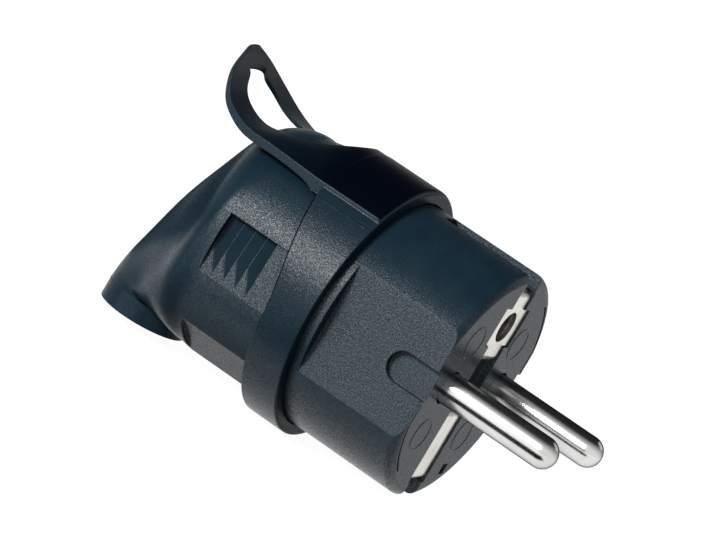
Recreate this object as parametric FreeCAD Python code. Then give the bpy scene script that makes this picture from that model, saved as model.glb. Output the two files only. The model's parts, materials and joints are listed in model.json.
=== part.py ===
import FreeCAD, Part
import math
import os

# Rewirable type F plug with an angled cord entry and a pull strap, in millimetres.
# The origin is the centre of the engagement face. +X leaves the face along the pins,
# +Z points to the earth hole, and the cord entry opens downwards, to -Z.

V = FreeCAD.Vector
X_AXIS = V(1, 0, 0)
Y_AXIS = V(0, 1, 0)
Z_AXIS = V(0, 0, 1)

# Pins and earth contact, as the plug standard sets them
PIN_R = 2.4
PIN_LENGTH = 19.0
PIN_SPACING = 19.0
EARTH_OFFSET = 10.0
EARTH_BORE_R = 2.45

# Clearances
FIT_CLEARANCE = 0.05
THREAD_CLEARANCE = 0.04
LOOSE_CLEARANCE = 0.12
SCREW_CLEARANCE = 0.2
ROOM_CLEARANCE = 1.2

# Front housing, which wraps its contacts
EARTH_TO_RIM = 8.65
PIN_TO_FLAT = 6.95
RIM_ROUND = 1.3
FLAT_LENGTH = 18.0
NOTCH_WIDTH = 4.8
NOTCH_LENGTH = 7.4
NOTCH_DEPTH = 1.2
FACE_WALL = 9.5
SIDE_WALL = 2.05
INNER_WALL = 1.2
GROOVE_DEPTH = 1.25
GROOVE_HALF = 1.15
FACE_GROOVE_WIDTH = 0.4
FACE_GROOVE_DEPTH = 0.5
SLOT_PLACE = (7.75, -13.75)
SLOT_WIDTH = 1.7
SLOT_DEPTH = 2.0

# Pull strap, trapped in a groove between the two housings
FRONT_LENGTH = 19.4
STRAP_WIDTH = 6.2
STRAP_TO_JOINT = 3.35
STRAP_CLEARANCE = 0.2
STRAP_WALL = 1.65
STRAP_EDGE_ROUND = 0.8
PLATE_STEP = 0.35
PLATE_HALF = 14.3
PLATE_LENGTH = 10.1
TONGUE_LENGTH = 25.5
TONGUE_DIP = 4.45
TONGUE_WALL = 1.3

# Rear housing: a round body that turns down into the cord entry
JOINT_GAP = 0.1
HOOD_STEP = 0.35
HOOD_WALL = 2.3
HOOD_LENGTH = 13.0
TAIL_OVERLAP = 0.6
TAIL_STEP = 0.03
OUTLET_BACK = 10.7
OUTLET_DROP = 0.6
NECK_LENGTH = 3.0
PASSAGE_R = 6.0
PASSAGE_RISE = 9.9
OUTLET_WALL = 1.1
GRIP_PLACE = 0.4
GRIP_LENGTH = 13.4
GRIP_HALF_Z = 4.8
GRIP_DEPTH = 1.9
GRIP_REAR_DEPTH = 1.25
GRIP_RAMP = 0.6
GRIP_RUN_OUT = 0.36
GRIP_TEETH = 4
GRIP_PITCH = 2.05
LOWER_FLAT_FROM = 134
LOWER_FLAT_TO = 168
POST_RIB_HALF = 1.1

# Cord entry and cord clamp
GROMMET_BORE_R = 4.3
GROMMET_WALL = 0.7
GROMMET_NECK = 1.4
GROMMET_LENGTH = 5.4
CLAMP_BACK = 7.9
CLAMP_WIDTH = 6.0
CLAMP_THICKNESS = 3.2
CLAMP_CORD_R = 5.2
CLAMP_CORD_REACH = 1.6
CLAMP_SCREW_EDGE = 3.1
CLAMP_SCREW_FLOOR = 5.9
CLAMP_TO_POST = 1.0
BOSS_R = 2.9

# Metal parts
STRIP_THICKNESS = 0.7
STRIP_SINK = 0.3
STRIP_BEND_R = 0.75
STRIP_LOW_HALF = 2.8
STRIP_MID_HALF = 3.1
STRIP_EARTH_MARGIN = 2.05
STRIP_EARTH_SPAN = 3.0
LEG_LENGTH = 14.5
LEG_HALF = 2.6
LEG_COVER = 2.75
LEG_LIP = 0.4
WELL_HALF_Z = 4.9
WELL_DEPTH = 6.9
SCREW_R = 1.5
SCREW_HEAD_R = 2.6
SCREW_HEAD_HEIGHT = 2.0
SCREW_SLOT = 0.8
TERMINAL_HEAD_R = 2.3
TERMINAL_HEAD_HEIGHT = 1.5
TERMINAL_SCREW_RISE = 0.9
ROOT_STEP = 0.2
COLLAR_WIDTH = 0.9
COLLAR_LENGTH = 1.5
SHANK_R = 2.0
EARTH_SHANK_R = 1.6
SHANK_SHARE = 0.45
RETAINER_THICKNESS = 1.7
BLOCK_LENGTH = 8.6
BLOCK_WIDTH = 7.4
BLOCK_HEIGHT = 7.0
BLOCK_EDGE = 0.5
WIRE_HOLE_R = 1.4
TUBE_WALL = 0.6
TUBE_LENGTH = 12.0
TUBE_SLIT = 0.8
FLANGE_WIDTH = 0.65
FLANGE_THICKNESS = 0.6
NUT_SIZE = 5.5
NUT_THICKNESS = 2.4
NUT_BACK = 3.6

# Values worked out from the sizes above
pin_y = PIN_SPACING / 2
body_r = EARTH_OFFSET + EARTH_TO_RIM
flat_half = pin_y + PIN_TO_FLAT
groove_r = body_r - GROOVE_DEPTH
leg_outer_z = body_r - LEG_COVER
leg_inner_z = leg_outer_z - STRIP_THICKNESS
cavity_r = groove_r - INNER_WALL
cavity_half_y = flat_half - SIDE_WALL
cavity_half_z = leg_inner_z - LOOSE_CLEARANCE - INNER_WALL
strap_front = -FRONT_LENGTH
strap_rear = strap_front - STRAP_WIDTH
strap_inner_r = body_r + STRAP_CLEARANCE
strap_outer_r = strap_inner_r + STRAP_WALL
plate_r = strap_outer_r + PLATE_STEP
tongue_start = strap_front - PLATE_LENGTH
joint_x = strap_front - STRAP_TO_JOINT
groove_front = joint_x + GROOVE_HALF
groove_back = joint_x - JOINT_GAP - GROOVE_HALF
hood_r = body_r - HOOD_STEP
hood_inner_r = hood_r - HOOD_WALL
hood_end = strap_rear - HOOD_LENGTH
outlet_x = hood_end - OUTLET_BACK
outlet_z = -hood_r - OUTLET_DROP
neck_z = outlet_z + NECK_LENGTH
grommet_neck_r = GROMMET_BORE_R + GROMMET_WALL
grommet_r = grommet_neck_r + GROMMET_WALL
outlet_r = grommet_r + LOOSE_CLEARANCE + OUTLET_WALL
strip_back = -STRIP_SINK - STRIP_THICKNESS
retainer_back = -FACE_WALL - RETAINER_THICKNESS
tube_outer_r = EARTH_BORE_R + TUBE_WALL
tube_back = strip_back - TUBE_LENGTH
post_r = pin_y - BLOCK_WIDTH / 2 - ROOM_CLEARANCE
nut_back = joint_x - NUT_BACK
nut_front = nut_back + NUT_THICKNESS
clamp_x = strap_rear - CLAMP_BACK
clamp_top = -post_r - CLAMP_TO_POST
clamp_bottom = clamp_top - CLAMP_THICKNESS
clamp_half = math.sqrt(hood_inner_r ** 2 - clamp_bottom ** 2) - ROOM_CLEARANCE
clamp_screw_y = clamp_half - CLAMP_SCREW_EDGE
clamp_screw_end = -hood_r + CLAMP_SCREW_FLOOR


def cylinder_x(x0, x1, radius, y=0.0, z=0.0):
    start = min(x0, x1)
    return Part.makeCylinder(radius, abs(x1 - x0), V(start, y, z), X_AXIS)


def cylinder_z(z0, z1, radius, x=0.0, y=0.0):
    start = min(z0, z1)
    return Part.makeCylinder(radius, abs(z1 - z0), V(x, y, start), Z_AXIS)


def block(x0, x1, y0, y1, z0, z1):
    return Part.makeBox(x1 - x0, y1 - y0, z1 - z0, V(x0, y0, z0))


def prism(points, direction):
    face = Part.Face(Part.makePolygon(points + [points[0]]))
    return face.extrude(direction)


def both_sides(shape):
    return [shape, shape.mirror(V(0, 0, 0), Y_AXIS)]


def spline_edge(points, start=None, end=None):
    # Smooth curve through the points, with end directions where they are given
    curve = Part.BSplineCurve()
    if start:
        curve.interpolate(points, InitialTangent=start, FinalTangent=end)
    else:
        curve.interpolate(points)
    return curve.toShape()


# Front housing

def rounded_front_body():
    c = RIM_ROUND * (1 - math.sqrt(0.5))
    rim = Part.Arc(V(0, 0, body_r - RIM_ROUND), V(-c, 0, body_r - c), V(-RIM_ROUND, 0, body_r))
    corners = [
        V(-RIM_ROUND, 0, body_r),
        V(groove_front, 0, body_r),
        V(groove_front, 0, groove_r),
        V(joint_x, 0, groove_r),
        V(joint_x, 0, 0),
        V(0, 0, 0),
        V(0, 0, body_r - RIM_ROUND),
    ]
    wire = Part.Wire([rim.toShape()] + Part.makePolygon(corners).Edges)
    return Part.Face(wire).revolve(V(0, 0, 0), X_AXIS, 360)


def guide_notch():
    # U-shaped notch in the flat, open at the face
    half = NOTCH_WIDTH / 2
    side = -flat_half
    slot = block(-NOTCH_LENGTH + half, 1, side - 1, side + NOTCH_DEPTH, -half, half)
    round_end = Part.makeCylinder(half, 1 + NOTCH_DEPTH, V(-NOTCH_LENGTH + half, side - 1, 0), Y_AXIS)
    return slot.fuse(round_end)


def strip_plan(margin):
    # Half-widths of the earth strip over the face, as (z from, z to, half-width)
    end = leg_outer_z + margin
    low = EARTH_OFFSET - STRIP_EARTH_SPAN
    high = EARTH_OFFSET + STRIP_EARTH_SPAN
    spans = [
        (-end, 0, STRIP_LOW_HALF),
        (0, low, STRIP_MID_HALF),
        (low, high, EARTH_BORE_R + STRIP_EARTH_MARGIN),
        (high, end, LEG_HALF),
    ]
    pieces = []
    for start, stop, half in spans:
        pieces.append(block(-2 * LEG_LENGTH, 1, -half - margin, half + margin, start - margin, stop + margin))
    return pieces[0].fuse(pieces[1:])


def leg_channel(sign):
    # Channel for one earth leg, narrower at the outside so that its lips hold the leg
    inner = leg_inner_z - LOOSE_CLEARANCE
    outer = leg_outer_z + LOOSE_CLEARANCE
    half = LEG_HALF + LOOSE_CLEARANCE
    length = LEG_LENGTH + ROOM_CLEARANCE
    low, high = sorted([sign * inner, sign * outer])
    pocket = block(-length, 1, -half, half, low, high)
    low, high = sorted([sign * leg_outer_z, sign * (body_r + 1)])
    mouth = block(-length, 1, -half + LEG_LIP, half - LEG_LIP, low, high)
    low, high = sorted([sign * (inner - STRIP_BEND_R), sign * inner])
    bend_relief = block(strip_back - 2 * LOOSE_CLEARANCE, 1, -half, half, low, high)
    return pocket.fuse([mouth, bend_relief])


def face_groove():
    # Parting groove near the rim, seen on two opposite quarters of the face
    def outline(inset):
        disc = cylinder_x(-FACE_GROOVE_DEPTH, 1, body_r - RIM_ROUND - inset)
        half = flat_half - FACE_GROOVE_WIDTH - inset
        return disc.common(block(-1, 2, -half, half, -body_r, body_r))
    band = outline(0.1).cut(outline(0.1 + FACE_GROOVE_WIDTH))
    start = NOTCH_WIDTH / 2 + FACE_GROOVE_WIDTH
    end = cavity_half_z
    low = block(-1, 2, -body_r, -pin_y, -end, -start)
    high = block(-1, 2, pin_y - PIN_R, body_r, start, end)
    return band.common(low.fuse(high))


def make_front_housing():
    body = rounded_front_body()
    cuts = []
    flat = block(-FLAT_LENGTH, 1, -body_r - 1, -flat_half, -body_r, body_r)
    cuts += both_sides(flat)
    cuts += both_sides(guide_notch())
    for sign in (-1, 1):
        cuts.append(leg_channel(sign))
        cuts.append(cylinder_x(1, -FACE_WALL - 1, PIN_R + ROOT_STEP + FIT_CLEARANCE, sign * pin_y))
        seat_front = -FACE_WALL + COLLAR_LENGTH
        cuts.append(cylinder_x(-FACE_WALL - 1, seat_front, PIN_R + COLLAR_WIDTH + FIT_CLEARANCE, sign * pin_y))
    recess = block(strip_back, 1, -body_r, body_r, -leg_outer_z, leg_outer_z)
    cuts.append(strip_plan(LOOSE_CLEARANCE).common(recess))
    half_z = WELL_HALF_Z + LOOSE_CLEARANCE
    half_y = STRIP_LOW_HALF + LOOSE_CLEARANCE
    cuts.append(block(-WELL_DEPTH, 1, -half_y, half_y, -half_z, half_z))
    half_z += STRIP_BEND_R
    cuts.append(block(strip_back - 2 * LOOSE_CLEARANCE, 1, -half_y, half_y, -half_z, half_z))
    cuts.append(cylinder_x(-WELL_DEPTH + 1, -FACE_WALL - 1, SCREW_R + SCREW_CLEARANCE))
    cuts.append(cylinder_x(1, -FACE_WALL - 1, tube_outer_r + FIT_CLEARANCE, 0, EARTH_OFFSET))
    flange_back = strip_back - FLANGE_THICKNESS
    cuts.append(cylinder_x(1, flange_back, tube_outer_r + FLANGE_WIDTH + LOOSE_CLEARANCE, 0, EARTH_OFFSET))
    cavity = cylinder_x(-FACE_WALL, joint_x - 1, cavity_r)
    room = block(joint_x - 1, 0, -cavity_half_y, cavity_half_y, -cavity_half_z, cavity_half_z)
    cuts.append(cavity.common(room))
    cuts.append(face_groove())
    y, z = SLOT_PLACE
    half = SLOT_WIDTH / 2
    cuts.append(block(-SLOT_DEPTH, 1, y - half, y + half, z - half, z + half))
    return body.cut(cuts).removeSplitter()


# Contacts

def terminal_places(front):
    # Back of a terminal block, end of the shank in it and place of its screw
    back = front - BLOCK_LENGTH
    shank_end = front - SHANK_SHARE * BLOCK_LENGTH
    return back, shank_end, (back + shank_end) / 2


def make_contact_pin(side):
    y = side * pin_y
    straight = PIN_LENGTH - PIN_R
    pin = cylinder_x(0, straight, PIN_R, y)
    root = cylinder_x(-FACE_WALL, 0, PIN_R + ROOT_STEP, y)
    tip = Part.makeSphere(PIN_R, V(straight, y, 0), X_AXIS, 0, 90, 360)
    collar = cylinder_x(-FACE_WALL, -FACE_WALL + COLLAR_LENGTH, PIN_R + COLLAR_WIDTH, y)
    shank = cylinder_x(terminal_places(retainer_back)[1], -FACE_WALL, SHANK_R, y)
    return pin.fuse([tip, root, collar, shank]).removeSplitter()


def turned(shape, y, z, turn):
    # Turned about its length, then moved sideways
    shape.rotate(V(0, 0, 0), X_AXIS, turn)
    shape.translate(V(0, y, z))
    return shape


def terminal_block(front, y, z, turn, shank_r):
    # Brass block with a bore for its contact, a hole for the wire and a tapped screw hole
    half_y = BLOCK_WIDTH / 2
    half_z = BLOCK_HEIGHT / 2
    back, shank_end, screw_x = terminal_places(front)
    body = block(back, front, -half_y, half_y, -half_z, half_z)
    wide = [e for e in body.Edges if abs(e.tangentAt(0).x) > 0.9]
    body = body.makeFillet(BLOCK_EDGE, wide)
    bore = cylinder_x(front + 1, shank_end - FIT_CLEARANCE, shank_r + FIT_CLEARANCE)
    wire_hole = cylinder_x(back - 1, shank_end + 0.5, WIRE_HOLE_R)
    tapped = cylinder_z(0, half_z + 1, SCREW_R + THREAD_CLEARANCE, screw_x)
    return turned(body.cut([bore, wire_hole, tapped]).removeSplitter(), y, z, turn)


def slotted_screw(length, head_r, head_height):
    # Cheese-head screw along +Z, its head above z = 0
    head = Part.makeCylinder(head_r, head_height)
    rim = [e for e in head.Edges if abs(e.CenterOfMass.z - head_height) < 1e-6 and e.Closed]
    head = head.makeChamfer(0.1 * head_r, rim[:1])
    shaft = Part.makeCylinder(SCREW_R, length, V(0, 0, -length))
    reach = head_r + 1
    half = SCREW_SLOT / 2
    slot = block(-reach, reach, -half, half, head_height / 2, head_height + 1)
    return head.fuse(shaft).cut(slot).removeSplitter()


def make_terminal_screw(front, y, z, turn):
    under_head = BLOCK_HEIGHT / 2 + TERMINAL_SCREW_RISE
    screw = slotted_screw(under_head - WIRE_HOLE_R / 2, TERMINAL_HEAD_R, TERMINAL_HEAD_HEIGHT)
    screw.translate(V(terminal_places(front)[2], 0, under_head))
    return turned(screw, y, z, turn)


def make_earth_socket():
    # Split sleeve for the fixed earth pin of a socket, with a shank for its terminal
    z = EARTH_OFFSET
    flange = cylinder_x(strip_back - FLANGE_THICKNESS, strip_back, tube_outer_r + FLANGE_WIDTH, 0, z)
    sleeve = cylinder_x(tube_back, strip_back, tube_outer_r, 0, z)
    shank = cylinder_x(terminal_places(tube_back)[1], tube_back, EARTH_SHANK_R, 0, z)
    bore = cylinder_x(tube_back + TUBE_WALL, 1, EARTH_BORE_R, 0, z)
    half = TUBE_SLIT / 2
    slit = block(tube_back + 2 * TUBE_WALL, 1, -tube_outer_r - 1, 0, z - half, z + half)
    return flange.fuse([sleeve, shank]).cut([bore, slit]).removeSplitter()


def rounded_path(points, radius, shift):
    # Wire along (x, z) points moved sideways by shift, with an arc at each inner corner
    normals = []
    for (xa, za), (xb, zb) in zip(points, points[1:]):
        size = math.hypot(xb - xa, zb - za)
        normals.append(V(-(zb - za) / size, 0, (xb - xa) / size))
    moved = [V(points[0][0], 0, points[0][1]) + normals[0] * shift]
    for point, before, after in zip(points[1:-1], normals, normals[1:]):
        mitre = (before + after) * (1 / (1 + before.dot(after)))
        moved.append(V(point[0], 0, point[1]) + mitre * shift)
    moved.append(V(points[-1][0], 0, points[-1][1]) + normals[-1] * shift)
    edges = []
    start = moved[0]
    for index in range(1, len(moved) - 1):
        corner = moved[index]
        turn = normals[index - 1].cross(normals[index]).y
        bend = radius + (shift if turn > 0 else -shift)
        before = (moved[index - 1] - corner).normalize()
        after = (moved[index + 1] - corner).normalize()
        half = before.getAngle(after) / 2
        reach = bend / math.tan(half)
        centre = corner + (before + after).normalize() * (bend / math.sin(half))
        a = corner + before * reach
        b = corner + after * reach
        middle = centre + (corner - centre).normalize() * bend
        edges.append(Part.LineSegment(start, a).toShape())
        edges.append(Part.Arc(a, middle, b).toShape())
        start = b
    edges.append(Part.LineSegment(start, moved[-1]).toShape())
    return edges


def make_earth_bracket():
    # One folded strip: leg, upper face, dip under the screw, lower face, leg
    mid_t = STRIP_THICKNESS / 2
    face_x = -STRIP_SINK - mid_t
    floor_x = -WELL_DEPTH + mid_t
    dip_z = WELL_HALF_Z - mid_t
    leg_z = leg_outer_z - mid_t
    half = [(-LEG_LENGTH, leg_z), (face_x, leg_z), (face_x, dip_z), (floor_x, dip_z)]
    path = half + [(x, -z) for x, z in reversed(half)]
    outer = rounded_path(path, STRIP_BEND_R, mid_t)
    inner = rounded_path(path, STRIP_BEND_R, -mid_t)
    ends = []
    for index, vertex in ((0, 0), (-1, -1)):
        a = outer[index].Vertexes[vertex].Point
        b = inner[index].Vertexes[vertex].Point
        ends.append(Part.LineSegment(a, b).toShape())
    wire = Part.Wire(Part.__sortEdges__(outer + inner + ends))
    sheet = Part.Face(wire).extrude(V(0, 2 * body_r, 0))
    sheet.translate(V(0, -body_r, 0))
    strip = sheet.common(strip_plan(0)).common(block(strip_back, 0, -body_r, body_r, -body_r, body_r))
    half_y = STRIP_LOW_HALF
    half_z = WELL_HALF_Z + STRIP_BEND_R
    dip = sheet.common(block(-WELL_DEPTH, strip_back, -half_y, half_y, -half_z, half_z))
    outer = sheet.cut(block(-WELL_DEPTH, 0, -body_r, body_r, -half_z, half_z))
    legs = outer.common(block(-LEG_LENGTH, strip_back, -LEG_HALF, LEG_HALF, -body_r, body_r))
    holes = [
        cylinder_x(1, strip_back - 1, EARTH_BORE_R, 0, EARTH_OFFSET),
        cylinder_x(-WELL_DEPTH - 1, -WELL_DEPTH + 2 * STRIP_THICKNESS, SCREW_R + SCREW_CLEARANCE),
    ]
    return strip.fuse([dip, legs]).cut(holes).removeSplitter()


def make_pin_retainer():
    # Insulating plate that closes the collar seats from behind
    disc = cylinder_x(retainer_back, -FACE_WALL, cavity_r - SCREW_CLEARANCE)
    half_y = cavity_half_y - SCREW_CLEARANCE
    half_z = cavity_half_z - SCREW_CLEARANCE
    plate = disc.common(block(retainer_back - 1, 0, -half_y, half_y, -half_z, half_z))
    deep = retainer_back - 1
    holes = [
        cylinder_x(0, deep, SCREW_R + SCREW_CLEARANCE),
        cylinder_x(0, deep, tube_outer_r + LOOSE_CLEARANCE, 0, EARTH_OFFSET),
    ]
    for side in (-1, 1):
        holes.append(cylinder_x(0, deep, SHANK_R + LOOSE_CLEARANCE, side * pin_y))
    return plate.cut(holes)


# Fasteners between the housings

def make_assembly_screw():
    head_x = -WELL_DEPTH + STRIP_THICKNESS
    screw = slotted_screw(head_x - nut_back + SCREW_R, SCREW_HEAD_R, SCREW_HEAD_HEIGHT)
    screw.rotate(V(0, 0, 0), Y_AXIS, 90)
    screw.translate(V(head_x, 0, 0))
    return screw


def make_assembly_nut():
    half = NUT_SIZE / 2
    nut = block(nut_back, nut_front, -half, half, -half, half)
    along = [e for e in nut.Edges if abs(e.tangentAt(0).x) > 0.9]
    nut = nut.makeChamfer(0.07 * NUT_SIZE, along)
    return nut.cut(cylinder_x(nut_back - 1, nut_front + 1, SCREW_R + THREAD_CLEARANCE))


# Rear housing

def hood_section(near, far, middle, half, pinch):
    # Half an outline of the hood, from its far point over the side to its near point.
    # middle is the share of the way to the far point where it is widest, half is that
    # half-width, and pinch narrows the far end into a ridge.
    centre = near + (far - near) * middle
    out = (far - near).normalize()
    points = []
    steps = 12
    for index in range(steps + 1):
        t = math.pi * index / steps
        reach = ((far if index < steps / 2 else near) - centre).Length
        y = half * math.sin(t) * (1 - pinch * math.cos(t) - pinch * pinch / 2)
        points.append(centre + out * (reach * math.cos(t)) + Y_AXIS * y)
    return points


def hood_tail():
    # From the round body over the shoulder and down into the neck of the cord entry.
    # Each station places its near point between the body's underside (0) and the inside
    # of the neck (1), its far point by how far back and how high it is, both as shares of
    # the whole turn, and gives how much of the body's width it has, and its pinch.
    length = hood_end - (outlet_x - outlet_r)
    stations = [
        (0.05, 0.080, 1.000, 1.000, 0.0),
        (0.12, 0.250, 0.968, 0.974, 0.05),
        (0.22, 0.415, 0.886, 0.877, 0.22),
        (0.37, 0.591, 0.711, 0.719, 0.36),
        (0.58, 0.778, 0.480, 0.500, 0.36),
        (0.80, 0.898, 0.260, 0.272, 0.26),
        (0.93, 0.972, 0.105, 0.096, 0.10),
    ]
    start = V(hood_end + TAIL_OVERLAP, 0, 0)
    below = V(hood_end, 0, -hood_r)
    neck_r = outlet_r - TAIL_STEP
    within = V(outlet_x + neck_r / 2, 0, neck_z)
    rim = V(outlet_x - neck_r, 0, neck_z)
    inner_r = hood_r - TAIL_STEP
    rows = [hood_section(start - Z_AXIS * inner_r, start + Z_AXIS * inner_r, 1 / 2, inner_r, 0)]
    for near_share, back, height, wide, pinch in stations:
        near = below + (within - below) * near_share
        far = V(hood_end - back * length, 0, neck_z + height * (hood_r - neck_z))
        middle = 1 / 2 - near_share / 6
        half = outlet_r + wide * (hood_r - outlet_r)
        rows.append(hood_section(near, far, middle, half, pinch))
    for lower in (-TAIL_STEP, TAIL_OVERLAP):
        drop = Z_AXIS * lower
        rows.append(hood_section(within - drop, rim - drop, 1 / 3, neck_r, 0))
    halves = []
    for side in (1, -1):
        surface = Part.BSplineSurface()
        surface.interpolate([[V(p.x, side * p.y, p.z) for p in row] for row in rows])
        halves.append(surface)
    ends = []
    for end in (0, 1):
        edges = [half.uIso(half.bounds()[end]).toShape() for half in halves]
        ends.append(Part.Face(Part.Wire(edges)))
    shell = Part.makeShell([half.toShape() for half in halves] + ends)
    shell.sewShape()
    return Part.makeSolid(shell)


def grip_ramp_y(z):
    # Sloping floor of a grip: flush with the round side at its lower edge, sunk at its top
    share = (z + GRIP_HALF_Z) / (2 * GRIP_HALF_Z)
    return -math.sqrt(hood_r ** 2 - GRIP_HALF_Z ** 2) + share * GRIP_RAMP


def grip_cutter(rear, front, rear_low, rear_depth, front_depth):
    # Wedge between two upright outlines, each with its lower end and its depth at the top
    wires = []
    for x, low, depth in ((rear, rear_low, rear_depth), (front, -GRIP_HALF_Z, front_depth)):
        skin = grip_ramp_y(-GRIP_HALF_Z)
        corners = [
            V(x, -hood_r - 1, low),
            V(x, grip_ramp_y(low) - FIT_CLEARANCE, low),
            V(x, skin + depth, GRIP_HALF_Z),
            V(x, -hood_r - 1, GRIP_HALF_Z),
        ]
        wires.append(Part.makePolygon(corners + [corners[0]]))
    return Part.makeLoft(wires, True, True)


def grip_cutters():
    # One shallow ramp, and slanted grooves in it, deep at the top and running out below
    rear = hood_end + GRIP_PLACE
    cutters = [grip_cutter(rear, rear + GRIP_LENGTH, -GRIP_HALF_Z, GRIP_RAMP, GRIP_RAMP)]
    run_out = -GRIP_HALF_Z + GRIP_RUN_OUT * 2 * GRIP_HALF_Z
    for index in range(GRIP_TEETH):
        start = rear + index * GRIP_PITCH
        cutters.append(grip_cutter(start, start + GRIP_PITCH, run_out, GRIP_REAR_DEPTH, GRIP_DEPTH))
    return cutters


def lower_flat():
    # Shallow flat along each lower side, behind the strap
    low = math.radians(LOWER_FLAT_FROM)
    high = math.radians(LOWER_FLAT_TO)
    ends = [V(0, -hood_r * math.sin(a), hood_r * math.cos(a)) for a in (low, high)]
    along = (ends[1] - ends[0]).normalize()
    away = V(0, along.z, -along.y)
    if away.dot(ends[0]) < 0:
        away = away * -1
    corners = [ends[0] - along, ends[1] + along, ends[1] + along + away * 3, ends[0] - along + away * 3]
    corners = [c + V(hood_end, 0, 0) for c in corners]
    return prism(corners, V(HOOD_LENGTH, 0, 0))


def hood_shell():
    body = cylinder_x(hood_end, groove_back, hood_r)
    collar = cylinder_x(groove_back, joint_x - JOINT_GAP, groove_r)
    neck = cylinder_z(outlet_z, neck_z, outlet_r, outlet_x)
    hollow = cylinder_x(hood_end, joint_x, hood_inner_r)
    passage_z = outlet_z + PASSAGE_RISE
    passage = cylinder_x(outlet_x + HOOD_WALL, joint_x, PASSAGE_R, 0, passage_z)
    turn = Part.makeCone(PASSAGE_R, PASSAGE_R / 2, PASSAGE_R * 0.8, V(outlet_x + HOOD_WALL, 0, passage_z), -X_AXIS)
    way_out = cylinder_z(outlet_z - 1, passage_z - HOOD_WALL, outlet_r - HOOD_WALL, outlet_x)
    return body.fuse([collar, neck, hood_tail()]), hollow.fuse([passage, turn, way_out])


def make_rear_housing():
    outside, inside = hood_shell()
    shell = outside.cut(inside)
    post = cylinder_x(hood_end, retainer_back, post_r)
    rib_front = tube_back - BLOCK_LENGTH - ROOM_CLEARANCE
    rib = block(hood_end, rib_front, -POST_RIB_HALF, POST_RIB_HALF, post_r / 2, hood_r)
    carriers = [post, rib]
    for side in (-1, 1):
        carriers.append(cylinder_z(-hood_r, clamp_bottom, BOSS_R, clamp_x, side * clamp_screw_y))
    within = outside.fuse(cylinder_x(groove_back, 0, post_r))
    shell = shell.fuse([carrier.common(within) for carrier in carriers])
    cuts = []
    for cutter in grip_cutters():
        cuts += both_sides(cutter)
    cuts += both_sides(lower_flat())
    cuts.append(cylinder_x(nut_back - 2 * SCREW_R, 0, SCREW_R + SCREW_CLEARANCE))
    half = NUT_SIZE / 2 + LOOSE_CLEARANCE
    cuts.append(block(nut_back, nut_front, -half, half, -post_r - 1, half))
    ledge = outlet_z + GROMMET_NECK
    cuts.append(cylinder_z(outlet_z - 1, ledge, grommet_neck_r + LOOSE_CLEARANCE, outlet_x))
    cuts.append(cylinder_z(ledge, outlet_z + GROMMET_LENGTH + 1, grommet_r + LOOSE_CLEARANCE, outlet_x))
    for side in (-1, 1):
        y = side * clamp_screw_y
        end = clamp_screw_end - FIT_CLEARANCE
        cuts.append(cylinder_z(end, clamp_bottom + 1, SCREW_R + THREAD_CLEARANCE, clamp_x, y))
    return shell.cut(cuts)


# Cord entry and cord clamp

def make_cord_grommet():
    ledge = outlet_z + GROMMET_NECK
    top = outlet_z + GROMMET_LENGTH
    neck = cylinder_z(outlet_z + FIT_CLEARANCE, ledge, grommet_neck_r, outlet_x)
    body = cylinder_z(ledge, top, grommet_r, outlet_x)
    bore = cylinder_z(outlet_z - 1, top + 1, GROMMET_BORE_R, outlet_x)
    return neck.fuse(body).cut(bore).removeSplitter()


def make_cord_clamp():
    half_x = CLAMP_WIDTH / 2
    bar = block(clamp_x - half_x, clamp_x + half_x, -clamp_half, clamp_half, clamp_bottom, clamp_top)
    upright = [e for e in bar.Edges if abs(e.tangentAt(0).z) > 0.9]
    bar = bar.makeFillet(CLAMP_WIDTH / 3, upright)
    saddle_z = clamp_bottom + CLAMP_CORD_REACH - CLAMP_CORD_R
    saddle = cylinder_x(clamp_x - CLAMP_WIDTH, clamp_x + CLAMP_WIDTH, CLAMP_CORD_R, 0, saddle_z)
    holes = []
    for side in (-1, 1):
        y = side * clamp_screw_y
        holes.append(cylinder_z(clamp_bottom - 1, clamp_top + 1, SCREW_R + SCREW_CLEARANCE, clamp_x, y))
    return bar.cut(holes + [saddle])


def make_clamp_screw(side):
    screw = slotted_screw(clamp_top - clamp_screw_end, SCREW_HEAD_R, SCREW_HEAD_HEIGHT)
    screw.translate(V(clamp_x, side * clamp_screw_y, clamp_top))
    return screw


# Pull strap

def strap_side_profile():
    # Side view of the band: straight below, sweeping back towards the tongue above
    sweep_length = strap_rear - tongue_start
    sweep = [
        V(strap_rear, 0, -0.32 * body_r),
        V(strap_rear - 0.12 * sweep_length, 0, 0.05 * body_r),
        V(strap_rear - 0.41 * sweep_length, 0, 0.30 * body_r),
        V(strap_rear - 0.95 * sweep_length, 0, 0.70 * body_r),
    ]
    corners = [
        V(tongue_start, 0, 0.76 * body_r),
        V(tongue_start, 0, 2 * body_r),
        V(strap_front, 0, 2 * body_r),
        V(strap_front, 0, -2 * body_r),
        V(strap_rear, 0, -2 * body_r),
    ]
    edges = [spline_edge(sweep)]
    edges += Part.makePolygon([sweep[-1]] + corners + [sweep[0]]).Edges
    face = Part.Face(Part.Wire(edges))
    slab = face.extrude(V(0, 4 * body_r, 0))
    slab.translate(V(0, -2 * body_r, 0))
    return slab


def strap_envelope():
    # Turned solid that rounds the band's outer edges
    r = STRAP_EDGE_ROUND
    c = r * (1 - math.sqrt(0.5))
    front_arc = Part.Arc(
        V(strap_front, 0, plate_r - r),
        V(strap_front - c, 0, plate_r - c),
        V(strap_front - r, 0, plate_r))
    back = tongue_start - 1
    corners = [
        V(strap_front - r, 0, plate_r),
        V(back, 0, plate_r),
        V(back, 0, 0),
        V(strap_front, 0, 0),
        V(strap_front, 0, plate_r - r),
    ]
    wire = Part.Wire([front_arc.toShape()] + Part.makePolygon(corners).Edges)
    return Part.Face(wire).revolve(V(0, 0, 0), X_AXIS, 360)


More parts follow.
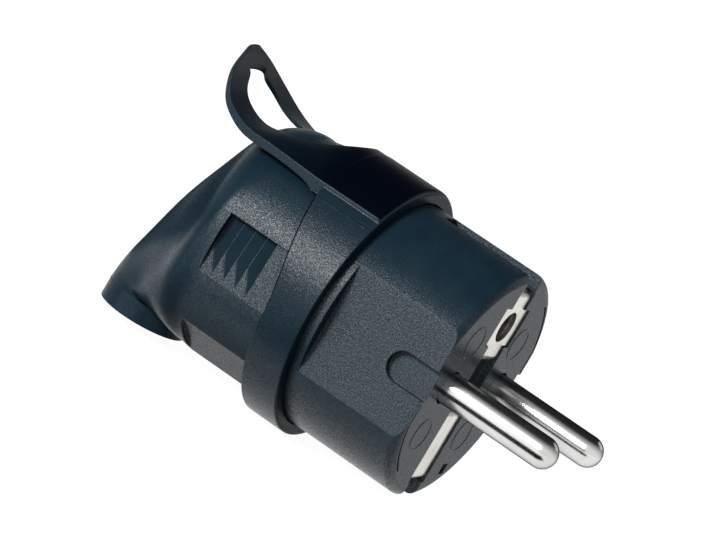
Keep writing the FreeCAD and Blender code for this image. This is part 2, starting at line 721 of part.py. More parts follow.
def tongue_rows(x, z, slope, half, sag, wall, middle_wall):
    # Points of the top and under faces across the tongue, square to its path. The wall
    # thins from the side edges to the middle.
    a = math.radians(slope)
    up = V(-math.sin(a), 0, math.cos(a))
    radius = (half * half + sag * sag) / (2 * sag)
    top = []
    under = []
    steps = 8
    for index in range(steps + 1):
        share = 2 * index / steps - 1
        y = half * share
        drop = radius - math.sqrt(radius * radius - y * y)
        thick = middle_wall + (wall - middle_wall) * share * share
        top.append(V(x, y, z) - up * drop)
        under.append(V(x, y, z) - up * (drop + thick))
    return top, under


def sheet_between(top_rows, under_rows):
    # Closed solid between two smooth faces, each interpolated through its rows of points
    surfaces = []
    for rows in (top_rows, under_rows):
        surface = Part.BSplineSurface()
        surface.interpolate(rows)
        surfaces.append(surface)
    top, under = surfaces
    faces = [top.toShape(), under.toShape()]
    for end in (0, 1):
        edges = [s.uIso(s.bounds()[end]).toShape() for s in surfaces]
        faces.append(Part.makeRuledSurface(*edges))
        edges = [s.vIso(s.bounds()[2 + end]).toShape() for s in surfaces]
        faces.append(Part.makeRuledSurface(*edges))
    shell = Part.makeShell(faces)
    shell.sewShape()
    return Part.makeSolid(shell)


def strap_tongue():
    # Stations along the tongue: share of its length, height over the plate's top as a
    # share of its dip, slope, share of the plate's half-width, share of the plate's
    # arch, and shares of the tongue's wall at the side edges and in the middle
    half = PLATE_HALF - FIT_CLEARANCE
    top = plate_r - FIT_CLEARANCE
    arch = plate_r - math.sqrt(plate_r ** 2 - half ** 2)
    root_wall = plate_r - strap_inner_r - LOOSE_CLEARANCE
    rows = [tongue_rows(tongue_start, top, 0, half, arch, root_wall, root_wall)]
    stations = [
        (0.098, -0.01, 3, 1.000, 0.99, 1.30, 1.30),
        (0.208, -0.18, 17, 1.000, 0.88, 1.12, 0.90),
        (0.333, -0.47, 21, 1.000, 0.625, 1.00, 0.42),
        (0.463, -0.71, 12, 0.985, 0.38, 1.00, 0.25),
        (0.584, -0.93, -3, 0.970, 0.17, 0.96, 0.24),
        (0.678, -0.89, -18, 0.935, 0.08, 0.86, 0.26),
        (0.773, -0.685, -33, 0.870, 0.035, 0.72, 0.30),
        (0.847, -0.36, -41, 0.745, 0.022, 0.60, 0.34),
        (0.902, -0.045, -49, 0.600, 0.016, 0.53, 0.38),
        (0.945, 0.29, -54, 0.410, 0.012, 0.49, 0.42),
        (0.980, 0.57, -56, 0.215, 0.010, 0.46, 0.44),
        (1.000, 0.75, -58, 0.060, 0.009, 0.45, 0.45),
    ]
    for back, rise, slope, wide, curved, side_wall, middle_wall in stations:
        x = tongue_start - back * TONGUE_LENGTH
        z = top + rise * TONGUE_DIP
        walls = (side_wall * TONGUE_WALL, middle_wall * TONGUE_WALL)
        rows.append(tongue_rows(x, z, slope, wide * half, curved * arch, *walls))
    return sheet_between([top for top, under in rows], [under for top, under in rows])


def finger_slot():
    # Long leaf-shaped opening, cut straight down: shares of the tongue's length
    # and of the plate's half-width
    outline = [
        (0.098, 0.25),
        (0.149, 0.40),
        (0.235, 0.50),
        (0.353, 0.57),
        (0.490, 0.56),
        (0.627, 0.50),
        (0.757, 0.44),
        (0.839, 0.36),
        (0.902, 0.21),
    ]
    front = V(tongue_start - 0.075 * TONGUE_LENGTH, 0, 0)
    back = V(tongue_start - 0.937 * TONGUE_LENGTH, 0, 0)
    edges = []
    for side in (1, -1):
        points = [V(tongue_start - x * TONGUE_LENGTH, side * y * PLATE_HALF, 0) for x, y in outline]
        edges.append(spline_edge([front] + points + [back], Y_AXIS * side, Y_AXIS * -side))
    return Part.Face(Part.Wire(edges)).extrude(V(0, 0, 3 * body_r))


def make_pull_strap():
    band = cylinder_x(tongue_start, strap_front, strap_outer_r)
    plate = cylinder_x(tongue_start, strap_front, plate_r)
    plate = plate.common(block(tongue_start, 0, -PLATE_HALF, PLATE_HALF, 0, 2 * body_r))
    band = band.fuse(plate).common(strap_envelope()).common(strap_side_profile())
    band = band.cut(cylinder_x(tongue_start - 1, 0, strap_inner_r))
    middle = joint_x - JOINT_GAP / 2
    rib_half = GROOVE_HALF - LOOSE_CLEARANCE
    rib = cylinder_x(middle - rib_half, middle + rib_half, strap_inner_r + STRAP_WALL / 2)
    rib = rib.cut(cylinder_x(tongue_start, 0, groove_r + LOOSE_CLEARANCE))
    strap = band.fuse([rib, strap_tongue()])
    return strap.cut(finger_slot()).removeSplitter()


def build_parts():
    parts = {
        "front_housing": make_front_housing(),
        "rear_housing": make_rear_housing(),
        "pull_strap": make_pull_strap(),
        "pin_retainer": make_pin_retainer(),
        "earth_bracket": make_earth_bracket(),
        "earth_socket": make_earth_socket(),
        "earth_terminal_block": terminal_block(tube_back, 0, EARTH_OFFSET, -90, EARTH_SHANK_R),
        "earth_terminal_screw": make_terminal_screw(tube_back, 0, EARTH_OFFSET, -90),
        "assembly_screw": make_assembly_screw(),
        "assembly_nut": make_assembly_nut(),
        "cord_grommet": make_cord_grommet(),
        "cord_clamp": make_cord_clamp(),
    }
    for side, name in ((-1, "left"), (1, "right")):
        parts["contact_pin_" + name] = make_contact_pin(side)
        parts["terminal_block_" + name] = terminal_block(retainer_back, side * pin_y, 0, 0, SHANK_R)
        parts["terminal_screw_" + name] = make_terminal_screw(retainer_back, side * pin_y, 0, 0)
        parts["clamp_screw_" + name] = make_clamp_screw(side)
    return parts


os.makedirs("parts", exist_ok=True)
for name, shape in build_parts().items():
    shape.exportStep("parts/" + name + ".step")
    print(name, len(shape.Solids), "solid", round(shape.Volume, 1), "mm3", "valid" if shape.isValid() else "INVALID")
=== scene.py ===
import bpy
import bmesh
import json
import math
from mathutils import Matrix, Vector


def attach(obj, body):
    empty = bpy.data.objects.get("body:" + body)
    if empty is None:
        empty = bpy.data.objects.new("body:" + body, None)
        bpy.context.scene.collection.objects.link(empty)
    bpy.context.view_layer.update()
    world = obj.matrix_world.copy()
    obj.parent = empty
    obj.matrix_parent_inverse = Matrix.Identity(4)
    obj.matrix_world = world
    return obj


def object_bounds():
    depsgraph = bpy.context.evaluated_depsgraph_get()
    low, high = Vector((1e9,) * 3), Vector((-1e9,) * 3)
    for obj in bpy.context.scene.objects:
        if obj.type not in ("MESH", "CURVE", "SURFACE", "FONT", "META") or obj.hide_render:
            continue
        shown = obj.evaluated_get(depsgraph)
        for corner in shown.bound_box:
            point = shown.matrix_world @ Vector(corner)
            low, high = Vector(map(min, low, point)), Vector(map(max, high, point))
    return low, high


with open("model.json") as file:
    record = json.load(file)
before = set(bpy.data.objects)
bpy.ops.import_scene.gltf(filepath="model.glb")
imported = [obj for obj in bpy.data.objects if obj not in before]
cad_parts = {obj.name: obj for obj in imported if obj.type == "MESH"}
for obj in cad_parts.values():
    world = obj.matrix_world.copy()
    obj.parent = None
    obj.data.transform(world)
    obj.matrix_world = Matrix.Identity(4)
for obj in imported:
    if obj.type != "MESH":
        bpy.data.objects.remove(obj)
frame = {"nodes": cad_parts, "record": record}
cadLow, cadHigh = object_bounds()
nodes = frame["nodes"]
mm = 0.001
print("frame loaded:", len(nodes), "nodes")


# Node helpers

def newMaterial(name):
    material = bpy.data.materials.new(name)
    material.use_nodes = True
    tree = material.node_tree
    shader = tree.nodes["Principled BSDF"]
    return material, tree, shader


def setInputs(tree, node, inputs):
    # A socket is linked, and anything else is set as the input's own value
    for name, value in inputs.items():
        if isinstance(value, bpy.types.NodeSocket):
            tree.links.new(value, node.inputs[name])
        else:
            node.inputs[name].default_value = value


def addNode(tree, kind, inputs):
    node = tree.nodes.new(kind)
    setInputs(tree, node, inputs)
    return node


def objectCoords(tree):
    return tree.nodes.new("ShaderNodeTexCoord").outputs["Object"]


def noise(tree, coords, scale, detail=2.0, rough=0.5):
    inputs = {"Vector": coords, "Scale": scale, "Detail": detail, "Roughness": rough}
    return addNode(tree, "ShaderNodeTexNoise", inputs).outputs["Fac"]


def ramp(tree, value, low, high, first, second):
    # The first colour up to low, the second from high
    node = addNode(tree, "ShaderNodeValToRGB", {"Fac": value})
    for element, place, colour in zip(node.color_ramp.elements, (low, high), (first, second)):
        element.position = place
        element.color = (*colour, 1)
    return node.outputs["Color"]


def grey(value):
    return (value, value, value)


def roundedNormal(tree, radius, samples=4):
    # Softens the hard edges of a moulded or stamped part
    node = addNode(tree, "ShaderNodeBevel", {"Radius": radius})
    node.samples = samples
    return node.outputs["Normal"]


def bump(tree, height, distance, strength, normal):
    inputs = {"Height": height, "Distance": distance, "Strength": strength, "Normal": normal}
    return addNode(tree, "ShaderNodeBump", inputs).outputs["Normal"]


def mapped(tree, value, low, high, start=0.0, end=1.0):
    inputs = {"Value": value, "From Min": low, "From Max": high, "To Min": start, "To Max": end}
    return addNode(tree, "ShaderNodeMapRange", inputs).outputs["Result"]


def maths(tree, operation, *values):
    node = tree.nodes.new("ShaderNodeMath")
    node.operation = operation
    setInputs(tree, node, dict(enumerate(values)))
    return node.outputs["Value"]


def absolute(tree, value):
    return maths(tree, "ABSOLUTE", value)


def product(tree, *values):
    result = values[0]
    for value in values[1:]:
        result = maths(tree, "MULTIPLY", result, value)
    return result


def parts(tree, vector):
    node = addNode(tree, "ShaderNodeSeparateXYZ", {"Vector": vector})
    return [node.outputs[axis] for axis in "XYZ"]


def normalParts(tree):
    return parts(tree, tree.nodes.new("ShaderNodeTexCoord").outputs["Normal"])


def blended(tree, share, first, second):
    # The first colour or value where the share is 0, the second where it is 1
    if isinstance(first, tuple):
        return ramp(tree, share, 0.0, 1.0, first, second)
    return mapped(tree, share, 0, 1, first, second)


# Plastics

plasticGrain = {
    "coarse": (2.0, 0.65),  # detail and roughness of the noise
    "fine": (2.0, 0.6),
    "fineScale": 2.3,       # how much closer the fine pits lie
    "fineShare": 0.5,
}
housingFinish = {
    "deep": (0.0062, 0.0195, 0.0310),
    "pale": (0.0096, 0.0260, 0.0400),
    "patches": (0.35, 0.68),    # where the cloudy colour turns from deep to pale
    "patchScale": 220.0,
    "patchNoise": (4.0, 0.6),   # detail and roughness
    "grain": 4200.0,        # spark-eroded grain, about 0.25 mm
    "grainHeight": 0.10 * mm,
    "roundStrength": 0.42,
    "flatStrength": 1.0,
    "dullStrength": 0.15,   # share of the grain left where the plastic is dull
    "roundRough": 0.27,
    "flatRough": 0.46,
    "roughSpread": (0.5, 1.0, 0.07, -0.07),     # rougher in the pits, smoother on the peaks
    "ior": 1.40,
    "roundSpecular": 0.32,
    "flatSpecular": 0.80,
    "sparkle": (0.65, 0.95, 0.50, 1.90),    # gloss of the grain's pits and peaks
    "tailFrom": -37.0 * mm,     # the tail and the hood's underside are smooth and duller
    "tailTo": -40.0 * mm,
    "hoodFront": -25.6 * mm,
    "dull": 0.3,
    "faceDull": 0.80,
    "flatFacing": (0.93, 0.985),    # how far the normal points sideways on the flats
    "underFacing": (-0.45, -0.65),
    "faceFacing": (0.90, 0.98),
    "edge": 0.22 * mm,
}
gripFinish = {
    # The grooves of the finger grips are smooth and dull
    "rear": -38.2 * mm,
    "front": -24.9 * mm,
    "half": 4.7 * mm,
    "skin": 17.66 * mm,     # half width of the hood at the grips' lower edge
    "slope": 0.0625,
    "depth": (0.03 * mm, 0.10 * mm),
    "pitch": 2.05 * mm,
    "crest": 0.12 * mm,     # the crests between the grooves keep the grain
    "rough": 0.30,
    "specular": 0.09,
}


def speckle(tree, coords, scale):
    # Two sizes of pits, the fine ones riding on the coarse
    coarse = noise(tree, coords, scale, *plasticGrain["coarse"])
    fine = noise(tree, coords, scale * plasticGrain["fineScale"], *plasticGrain["fine"])
    return maths(tree, "MULTIPLY_ADD", fine, plasticGrain["fineShare"], coarse)


def gripShare(tree, coords):
    # 1 in the grooves, which lie under the grip's own sloping floor
    grip = gripFinish
    x, y, z = parts(tree, coords)
    within = product(
        tree,
        maths(tree, "GREATER_THAN", x, grip["rear"]),
        maths(tree, "LESS_THAN", x, grip["front"]),
        maths(tree, "LESS_THAN", absolute(tree, z), grip["half"]),
    )
    middle = grip["skin"] - grip["half"] * grip["slope"]
    floor = maths(tree, "MULTIPLY_ADD", z, -grip["slope"], middle)
    depth = maths(tree, "SUBTRACT", floor, absolute(tree, y))
    along = maths(tree, "SUBTRACT", x, grip["rear"])
    crest = maths(tree, "PINGPONG", along, grip["pitch"] / 2)
    off = mapped(tree, crest, grip["crest"] / 2, grip["crest"])
    return product(tree, within, off, mapped(tree, depth, *grip["depth"]))


def dullShare(tree, x, forward, upward):
    # The tail, the hood's underside and the engagement face
    finish = housingFinish
    tail = mapped(tree, x, finish["tailFrom"], finish["tailTo"])
    under = mapped(tree, upward, *finish["underFacing"])
    onHood = maths(tree, "LESS_THAN", x, finish["hoodFront"])
    face = mapped(tree, forward, *finish["faceFacing"], 0.0, finish["faceDull"])
    dull = maths(tree, "MAXIMUM", tail, product(tree, under, onHood))
    return maths(tree, "MAXIMUM", dull, face)


def makeHousingPlastic():
    # The flat sides are eroded more coarsely than the round ones
    finish = housingFinish
    material, tree, shader = newMaterial("housingPlastic")
    coords = objectCoords(tree)
    grain = speckle(tree, coords, finish["grain"])
    patches = noise(tree, coords, finish["patchScale"], *finish["patchNoise"])
    forward, side, upward = normalParts(tree)
    flat = mapped(tree, absolute(tree, side), *finish["flatFacing"])
    dull = dullShare(tree, parts(tree, coords)[0], forward, upward)
    groove = gripShare(tree, coords)
    plain = maths(tree, "SUBTRACT", 1.0, groove)

    rough = blended(tree, flat, finish["roundRough"], finish["flatRough"])
    rough = maths(tree, "ADD", rough, mapped(tree, grain, *finish["roughSpread"]))
    rough = product(tree, plain, rough)

    specular = blended(tree, flat, finish["roundSpecular"], finish["flatSpecular"])
    specular = product(tree, specular, blended(tree, dull, 1.0, finish["dull"]))
    specular = product(tree, plain, specular, mapped(tree, grain, *finish["sparkle"]))

    strength = blended(tree, flat, finish["roundStrength"], finish["flatStrength"])
    strength = product(tree, strength, blended(tree, dull, 1.0, finish["dullStrength"]))
    strength = product(tree, plain, strength)

    edges = roundedNormal(tree, finish["edge"])
    setInputs(tree, shader, {
        "Base Color": ramp(tree, patches, *finish["patches"], finish["deep"], finish["pale"]),
        "Roughness": maths(tree, "MULTIPLY_ADD", groove, gripFinish["rough"], rough),
        "Specular IOR Level": maths(tree, "MULTIPLY_ADD", groove, gripFinish["specular"], specular),
        "Normal": bump(tree, grain, finish["grainHeight"], strength, edges),
        "IOR": finish["ior"],
    })
    return material


strapFinish = {
    # Painted shade: the tongue's up-facing top gets a far darker colour than the sides; its
    # smoothness is its own finish
    "top": (0.0006, 0.0018, 0.0058),
    "topRough": 0.30,
    "topSpecular": 0.10,
    "topStrength": 0.04,
    "topFacing": (0.50, 0.66),
    "side": (0.0070, 0.0205, 0.0325),
    "sideRough": 0.27,
    "sideSpecular": 0.30,
    "sideStrength": 0.42,
    "rimGloss": 0.12,       # share left on the collar's front and back rims
    "rimFacing": (0.80, 0.95),
    "plateHalf": 14.15 * mm,
    "smoothFrom": 13.3 * mm,    # the collar's grain ends at a fine line here
    "line": 0.10 * mm,
    "lineHeight": 0.12 * mm,
    "tipLightFrom": -30 * mm,   # painted light: the tongue's top is painted paler towards its tip
    "tipLightTo": -46 * mm,
    "tipLightShare": 0.6,
    "grain": 4200.0,
    "grainHeight": 0.10 * mm,
    "sparkle": (0.65, 0.95, 0.50, 1.90),
    "ior": 1.40,
    "edge": 0.22 * mm,
}
jointShadeFinish = {
    # Painted shade: a dark line along the collar's rear edge, where the gap to the hood lies in
    # shadow
    "straight": -25.6 * mm,
    "sweep": -0.289,        # the edge sweeps back towards the tongue
    "bend": 2.2 * mm,
    "near": 0.15 * mm,
    "far": 0.26 * mm,
    "fadeFrom": -7.0 * mm,
    "fadeTo": -4.0 * mm,
}


def jointShadeShare(tree, x, z):
    # Painted shade: 1 in a thin band along the collar's rear edge, by the hood
    jointShade = jointShadeFinish
    swept = maths(tree, "MULTIPLY_ADD", z, jointShade["sweep"], jointShade["straight"])
    edge = maths(tree, "SMOOTH_MIN", jointShade["straight"], swept, jointShade["bend"])
    away = absolute(tree, maths(tree, "SUBTRACT", x, edge))
    return product(
        tree,
        mapped(tree, away, jointShade["far"], jointShade["near"]),
        mapped(tree, z, jointShade["fadeFrom"], jointShade["fadeTo"]),
        maths(tree, "LESS_THAN", z, strapFinish["smoothFrom"]),
    )


def makeStrapPlastic():
    finish = strapFinish
    material, tree, shader = newMaterial("strapPlastic")
    coords = objectCoords(tree)
    grain = speckle(tree, coords, finish["grain"])
    x, y, z = parts(tree, coords)
    forward, upward = normalParts(tree)[::2]
    line, lineWidth = finish["smoothFrom"], finish["line"]
    high = mapped(tree, z, line, line + lineWidth)
    onPlate = maths(tree, "LESS_THAN", absolute(tree, y), finish["plateHalf"])
    up = product(tree, onPlate, mapped(tree, upward, *finish["topFacing"]))
    # Painted light: the painted shade on the top is lifted towards the tongue's tip
    pale = mapped(tree, x, finish["tipLightFrom"], finish["tipLightTo"], 1.0, 1.0 - finish["tipLightShare"])
    top = product(tree, up, high, pale)
    rim = mapped(tree, absolute(tree, forward), *finish["rimFacing"])
    jointShade = jointShadeShare(tree, x, z)
    # Painted shade: the tongue's top and the joint by the hood take the near-black colour
    dark = maths(tree, "MAXIMUM", top, jointShade)

    # The smooth top keeps its full gloss, and the rims and the painted joint shade lose theirs
    specular = blended(tree, top, finish["sideSpecular"], finish["topSpecular"])
    sparkle = maths(tree, "MAXIMUM", high, mapped(tree, grain, *finish["sparkle"]))
    rimGloss = blended(tree, rim, 1.0, finish["rimGloss"])
    jointShadeGloss = blended(tree, jointShade, 1.0, 0.0)

    # A fine step at the line, with the grain on top of it
    off = absolute(tree, maths(tree, "SUBTRACT", z, line))
    ridge = mapped(tree, off, 0.0, lineWidth, 1.0, 0.0)
    step = bump(tree, ridge, finish["lineHeight"], 1.0, roundedNormal(tree, finish["edge"]))
    strength = blended(tree, high, finish["sideStrength"], finish["topStrength"])
    setInputs(tree, shader, {
        "Base Color": blended(tree, dark, finish["side"], finish["top"]),
        "Roughness": blended(tree, top, finish["sideRough"], finish["topRough"]),
        "Specular IOR Level": product(tree, specular, sparkle, rimGloss, jointShadeGloss),
        "Normal": bump(tree, grain, finish["grainHeight"], strength, step),
        "IOR": finish["ior"],
    })
    return material


innerFinish = {
    "dark": (0.020, 0.020, 0.021),
    "pale": (0.032, 0.032, 0.033),
    "rough": 0.5,
}
grommetFinish = {
    "dark": (0.010, 0.010, 0.011),
    "pale": (0.018, 0.018, 0.019),
    "rough": 0.75,
}
plainGrain = {
    "patches": (0.3, 0.7),
    "patchScale": 300.0,
    "patchDetail": 3.0,
    "scale": 1800.0,
    "height": 0.02 * mm,
    "strength": 0.4,
    "edge": 0.2 * mm,
}


def makePlainPlastic(name, finish):
    material, tree, shader = newMaterial(name)
    coords = objectCoords(tree)
    patches = noise(tree, coords, plainGrain["patchScale"], plainGrain["patchDetail"])
    fine = noise(tree, coords, plainGrain["scale"])
    edges = roundedNormal(tree, plainGrain["edge"])
    setInputs(tree, shader, {
        "Base Color": ramp(tree, patches, *plainGrain["patches"], finish["dark"], finish["pale"]),
        "Roughness": finish["rough"],
        "Normal": bump(tree, fine, plainGrain["height"], plainGrain["strength"], edges),
    })
    return material


# Metals, where stretch draws the marks out as drawing or turning leaves them

pinFinish = {
    "dark": (0.62, 0.62, 0.61),
    "pale": (0.72, 0.72, 0.71),
    "rough": (0.15, 0.25),
    "stretch": (0.05, 1, 1),
    "edge": 0.1 * mm,
    "rim": (0.02, 0.02, 0.02),      # painted reflection: a dark edge tint darkens the pins' outlines
    "root": (0.02, 0.02, 0.02),     # painted shade: a dark ring at each pin's root, by the face
    "rootShadeDepth": 0.05 * mm,
}
earthFinish = {
    "dark": (0.60, 0.58, 0.54),
    "pale": (0.74, 0.72, 0.68),
    "rough": (0.22, 0.38),
    "stretch": (1, 1, 0.1),
    "edge": 0.1 * mm,
}
brassFinish = {
    "dark": (0.62, 0.45, 0.18),
    "pale": (0.76, 0.58, 0.26),
    "rough": (0.25, 0.4),
    "stretch": (0.1, 1, 1),
    "edge": 0.1 * mm,
}
screwFinish = {
    "dark": (0.45, 0.46, 0.47),
    "pale": (0.62, 0.63, 0.64),
    "rough": (0.25, 0.42),
    "stretch": (1, 1, 0.2),
    "edge": 0.08 * mm,
}
metalMarks = {
    "marks": (0.3, 0.75),       # where the drawn marks turn from smooth to dull
    "scale": 900.0,
    "markNoise": (4.0, 0.6),    # detail and roughness
    "clouds": (0.3, 0.7),       # where the cloudy colour turns from dark to pale
    "cloudScale": 220.0,
    "cloudDetail": 3.0,
    "height": 0.004 * mm,
    "strength": 0.25,
}


def makeMetal(name, finish):
    material, tree, shader = newMaterial(name)
    coords = objectCoords(tree)
    drawn = addNode(tree, "ShaderNodeMapping", {"Vector": coords, "Scale": finish["stretch"]})
    marks = noise(tree, drawn.outputs["Vector"], metalMarks["scale"], *metalMarks["markNoise"])
    cloud = noise(tree, coords, metalMarks["cloudScale"], metalMarks["cloudDetail"])
    smooth, dull = [grey(value) for value in finish["rough"]]
    edges = roundedNormal(tree, finish["edge"])
    setInputs(tree, shader, {
        "Base Color": ramp(tree, cloud, *metalMarks["clouds"], finish["dark"], finish["pale"]),
        "Roughness": ramp(tree, marks, *metalMarks["marks"], smooth, dull),
        "Normal": bump(tree, marks, metalMarks["height"], metalMarks["strength"], edges),
        "Metallic": 1.0,
    })
    return material


def makePinNickel():
    material = makeMetal("pinNickel", pinFinish)
    tree = material.node_tree
    shader = tree.nodes["Principled BSDF"]
    plating = shader.inputs["Base Color"].links[0].from_socket
    forward = parts(tree, objectCoords(tree))[0]
    # Painted shade: the base colour turns dark close to the face
    rootShaded = addNode(tree, "ShaderNodeMixRGB", {
        "Fac": mapped(tree, forward, 0.0, pinFinish["rootShadeDepth"], 1.0, 0.0),
        "Color1": plating,
        "Color2": (*pinFinish["root"], 1),
    })
    # Painted shade at the root, and a painted dark reflection along the pins' outlines
    setInputs(tree, shader, {
        "Base Color": rootShaded.outputs["Color"],
        "Specular Tint": (*pinFinish["rim"], 1),
    })
    return material


finishes = {
    "housing_plastic": makeHousingPlastic(),
    "strap_plastic": makeStrapPlastic(),
    "inner_plastic": makePlainPlastic("innerPlastic", innerFinish),
    "grommet_rubber": makePlainPlastic("grommetRubber", grommetFinish),
    "pin_nickel": makePinNickel(),
    "earth_metal": makeMetal("earthMetal", earthFinish),
    "terminal_brass": makeMetal("terminalBrass", brassFinish),
    "screw_steel": makeMetal("screwSteel", screwFinish),
}
for part in frame["record"]["subparts"]:
    node = nodes[part["node"]]
    for slot in node.material_slots:
        slot.material = finishes[part["material_slot"]]
    if not node.material_slots:
        node.data.materials.append(finishes[part["material_slot"]])
print("finishes assigned")


# Plain moulded rings in the face, made with Geometry Nodes

faceRings = {
    "places": [(-9.4, 7.4), (8.0, 7.4), (-9.2, -7.8), (7.4, -8.1)],     # y, z in mm
    "radius": 2.55 * mm,
    "width": 0.17 * mm,
    "sunk": 0.10 * mm,      # how far the ring's middle lies under the face
    "segments": 64,
    "sides": 12,
    "weld": 0.001 * mm,
}


def ringNodes():
    # A ring on each point of the mesh it is given
    group = bpy.data.node_groups.new("faceRings", "GeometryNodeTree")
    entries = {
        "Geometry": "NodeSocketGeometry",
        "Ring radius": "NodeSocketFloat",
        "Ring width": "NodeSocketFloat",
        "Segments": "NodeSocketInt",
        "Material": "NodeSocketMaterial",
    }
    for name, kind in entries.items():
        group.interface.new_socket(name, in_out="INPUT", socket_type=kind)
    group.interface.new_socket("Geometry", in_out="OUTPUT", socket_type="NodeSocketGeometry")
    given = group.nodes.new("NodeGroupInput").outputs
    path = addNode(group, "GeometryNodeCurvePrimitiveCircle", {
        "Radius": given["Ring radius"],
        "Resolution": given["Segments"],
    })
    section = addNode(group, "GeometryNodeCurvePrimitiveCircle", {
        "Radius": given["Ring width"],
        "Resolution": faceRings["sides"],
    })
    sweep = addNode(group, "GeometryNodeCurveToMesh", {
        "Curve": path.outputs["Curve"],
        "Profile Curve": section.outputs["Curve"],
    })
    place = addNode(group, "GeometryNodeInstanceOnPoints", {
        "Points": given["Geometry"],
        "Instance": sweep.outputs["Mesh"],
        "Rotation": (0, math.radians(90), 0),
    })
    real = addNode(group, "GeometryNodeRealizeInstances", {"Geometry": place.outputs["Instances"]})
    paint = addNode(group, "GeometryNodeSetMaterial", {
        "Geometry": real.outputs["Geometry"],
        "Material": given["Material"],
    })
    addNode(group, "NodeGroupOutput", {"Geometry": paint.outputs["Geometry"]})
    return group


def addFaceRings():
    mesh = bpy.data.meshes.new("faceRings")
    middles = [(-faceRings["sunk"], y * mm, z * mm) for y, z in faceRings["places"]]
    mesh.from_pydata(middles, [], [])
    rings = bpy.data.objects.new("faceRings", mesh)
    bpy.context.collection.objects.link(rings)
    modifier = rings.modifiers.new("rings", "NODES")
    modifier.node_group = ringNodes()
    values = {
        "Ring radius": faceRings["radius"],
        "Ring width": faceRings["width"],
        "Segments": faceRings["segments"],
        "Material": finishes["housing_plastic"],
    }
    for item in modifier.node_group.interface.items_tree:
        if item.in_out == "INPUT" and item.name in values:
            modifier[item.identifier] = values[item.name]
    bpy.context.view_layer.update()
    evaluated = rings.evaluated_get(bpy.context.evaluated_depsgraph_get())
    made = bpy.data.meshes.new_from_object(evaluated)
    rings.modifiers.clear()
    rings.data = made
    bm = bmesh.new()
    bm.from_mesh(made)
    bmesh.ops.remove_doubles(bm, verts=bm.verts, dist=faceRings["weld"])
    bmesh.ops.recalc_face_normals(bm, faces=bm.faces)
    for polygon in bm.faces:
        polygon.smooth = True
    bm.to_mesh(made)
    bm.free()
    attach(rings, "root")
    print("face rings:", len(made.polygons), "faces")


addFaceRings()


# Studio

studio = {
    "floorSize": 6.0,
    "floorColour": (0.25, 0.25, 0.25, 1),
    "floorRough": 0.9,
    "floorSpecular": 0.1,
    "floorGlow": 0.95,
    "floorGap": 0.02 * mm,
    "ambient": 0.30,
    "middle": (-18 * mm, 0, 0),     # what the lamps and the dark card aim at
}
darkCards = {
    "direction": (-0.10, 0.45, 0.88),
    "halfAngle": 84.0,
    "soft": 48.0,       # the large card fades out over this many degrees
    "cover": 0.98,
    "radius": 1.3,
    "segments": (48, 24),
    "felt": (0.006, 0.012),
    "weave": 90.0,
    "weaveDetail": 3.0,
    "threads": (0.3, 0.7),
    # x from, x to, y from, y to: one behind the body, and one that the pins mirror as a stripe
    "onFloor": [(-0.60, -0.008, 0.045, 0.90), (-0.034, 0.045, -0.076, -0.028)],
    "lift": 0.2 * mm,
}
lamps = {
    # direction as the camera sees it (right, up, towards it), distance, size, power
    "keyLamp": ((-0.38, 0.54, 0.75), 0.80, 0.26, 6.0),
    "leftLamp": ((-0.86, 0.05, 0.50), 0.90, 0.50, 0.45),
    "backLamp": ((0.85, 0.25, -0.45), 0.90, 0.50, 0.45),
}


def seenDirectly(tree):
    # 1 for the camera and for what metal and gloss reflect, 0 for light on the object
    rays = tree.nodes.new("ShaderNodeLightPath").outputs
    mirrored = maths(tree, "MAXIMUM", rays["Is Glossy Ray"], rays["Is Transmission Ray"])
    return maths(tree, "MAXIMUM", rays["Is Camera Ray"], mirrored)


def addFloor():
    height = cadLow[2] - studio["floorGap"]
    bpy.ops.mesh.primitive_plane_add(size=studio["floorSize"], location=(0, 0, height))
    floor = bpy.context.object
    floor.name = "studioFloor"
    material, tree, shader = newMaterial("floorPaper")
    setInputs(tree, shader, {
        "Base Color": studio["floorColour"],
        "Roughness": studio["floorRough"],
        "Specular IOR Level": studio["floorSpecular"],
        "Emission Color": (1, 1, 1, 1),
        "Emission Strength": blended(tree, seenDirectly(tree), 0.0, studio["floorGlow"]),
    })
    floor.data.materials.append(material)


def setWorld():
    world = bpy.data.worlds.new("studioWorld")
    bpy.context.scene.world = world
    world.use_nodes = True
    tree = world.node_tree
    setInputs(tree, tree.nodes["Background"], {
        "Color": (1, 1, 1, 1),
        "Strength": blended(tree, seenDirectly(tree), studio["ambient"], 1.0),
    })


def addLamp(name, place, target, width, power):
    light = bpy.data.lights.new(name, "AREA")
    light.shape = "DISK"
    light.size = width
    light.energy = power
    lamp = bpy.data.objects.new(name, light)
    bpy.context.collection.objects.link(lamp)
    lamp.location = place
    lamp.rotation_euler = (target - place).to_track_quat("-Z", "Y").to_euler()


def feltCover(tree, aim):
    # The felt thins out towards the card's edge
    turned = tree.nodes.new("ShaderNodeVectorMath")
    turned.operation = "DOT_PRODUCT"
    setInputs(tree, turned, {0: objectCoords(tree), 1: aim / darkCards["radius"]})
    outer = math.radians(darkCards["halfAngle"])
    inner = math.radians(darkCards["halfAngle"] - darkCards["soft"])
    angle = maths(tree, "ARCCOSINE", turned.outputs["Value"])
    return mapped(tree, angle, outer, inner, 0.0, darkCards["cover"])


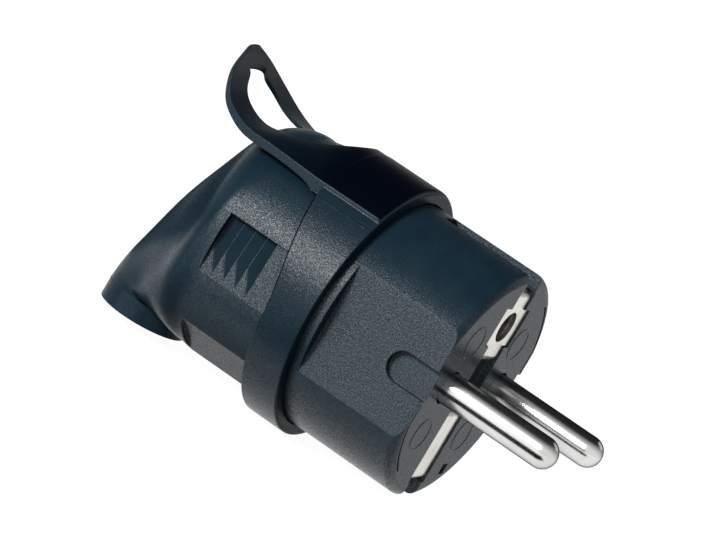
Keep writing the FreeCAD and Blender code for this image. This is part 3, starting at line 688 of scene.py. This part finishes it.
def stageCard(name, bm, place, aim=None):
    # Black felt, out of the camera's sight, that the metal and the gloss reflect
    mesh = bpy.data.meshes.new(name)
    bm.to_mesh(mesh)
    bm.free()
    card = bpy.data.objects.new(name, mesh)
    card.location = place
    bpy.context.collection.objects.link(card)
    card.visible_camera = False
    card.visible_diffuse = False
    card.visible_shadow = False
    material, tree, shader = newMaterial(name + "Felt")
    weave = noise(tree, objectCoords(tree), darkCards["weave"], darkCards["weaveDetail"])
    dark, pale = [grey(value) for value in darkCards["felt"]]
    setInputs(tree, shader, {
        "Base Color": ramp(tree, weave, *darkCards["threads"], dark, pale),
        "Roughness": 1.0,
        "Specular IOR Level": 0.0,
        "Alpha": feltCover(tree, aim) if aim else 1.0,
    })
    mesh.materials.append(material)


def addDarkCards(middle):
    # A large cap over the plug, and flat cards on the floor
    aim = Vector(darkCards["direction"]).normalized()
    around, along = darkCards["segments"]
    bm = bmesh.new()
    bmesh.ops.create_uvsphere(
        bm, u_segments=around, v_segments=along, radius=darkCards["radius"])
    limit = math.cos(math.radians(darkCards["halfAngle"]))
    outside = [
        face for face in bm.faces
        if face.calc_center_median().normalized().dot(aim) < limit
    ]
    bmesh.ops.delete(bm, geom=outside, context="FACES")
    stageCard("darkCard", bm, middle, aim)
    bm = bmesh.new()
    for x0, x1, y0, y1 in darkCards["onFloor"]:
        corners = ((x0, y0), (x1, y0), (x1, y1), (x0, y1))
        bm.faces.new([bm.verts.new((x, y, 0)) for x, y in corners])
    stageCard("floorCard", bm, (0, 0, cadLow[2] + darkCards["lift"]))


addFloor()
setWorld()
print("floor and world set")


# Camera, fitted to the photograph by the pins, the face and the body's sides

view = {
    "azimuth": 19.925,
    "elevation": 10.262,
    "roll": 30.538,
    "distance": 600 * mm,
    "pixelsPerMetre": 7038.0,   # at the engagement face
    "facePixel": (472.1, 388.1),
    "imageSize": (710, 560),
    "sensorWidth": 36.0,
    "clip": (0.01, 20.0),
}


def addCamera():
    angles = [math.radians(view[key]) for key in ("azimuth", "elevation", "roll")]
    azimuth, elevation, roll = angles
    level = math.cos(elevation)
    back = Vector((math.sin(azimuth) * level, -math.cos(azimuth) * level, math.sin(elevation)))
    right = Vector((math.cos(azimuth), math.sin(azimuth), 0))
    up = back.cross(right)
    rolledRight = right * math.cos(roll) + up * math.sin(roll)
    rolledUp = -right * math.sin(roll) + up * math.cos(roll)
    width, height = view["imageSize"]
    across = (view["facePixel"][0] - width / 2) / view["pixelsPerMetre"]
    above = (height / 2 - view["facePixel"][1]) / view["pixelsPerMetre"]
    camera = bpy.data.objects.new("photoCamera", bpy.data.cameras.new("photoCamera"))
    bpy.context.collection.objects.link(camera)
    turn = Matrix((rolledRight, rolledUp, back)).transposed().to_4x4()
    place = back * view["distance"] - rolledRight * across - rolledUp * above
    camera.matrix_world = Matrix.Translation(place) @ turn
    lens = camera.data
    lens.sensor_width = view["sensorWidth"]
    lens.lens = view["pixelsPerMetre"] * view["distance"] * view["sensorWidth"] / width
    lens.clip_start, lens.clip_end = view["clip"]
    bpy.context.scene.camera = camera
    return rolledRight, rolledUp, back


right, up, back = addCamera()
middle = Vector(studio["middle"])
for name, ((across, above, towards), distance, width, power) in lamps.items():
    aim = (right * across + up * above + back * towards).normalized()
    addLamp(name, middle + aim * distance, middle, width, power)
addDarkCards(middle)
bpy.context.scene.view_settings.view_transform = "Standard"
print("camera, lamps and cards set")
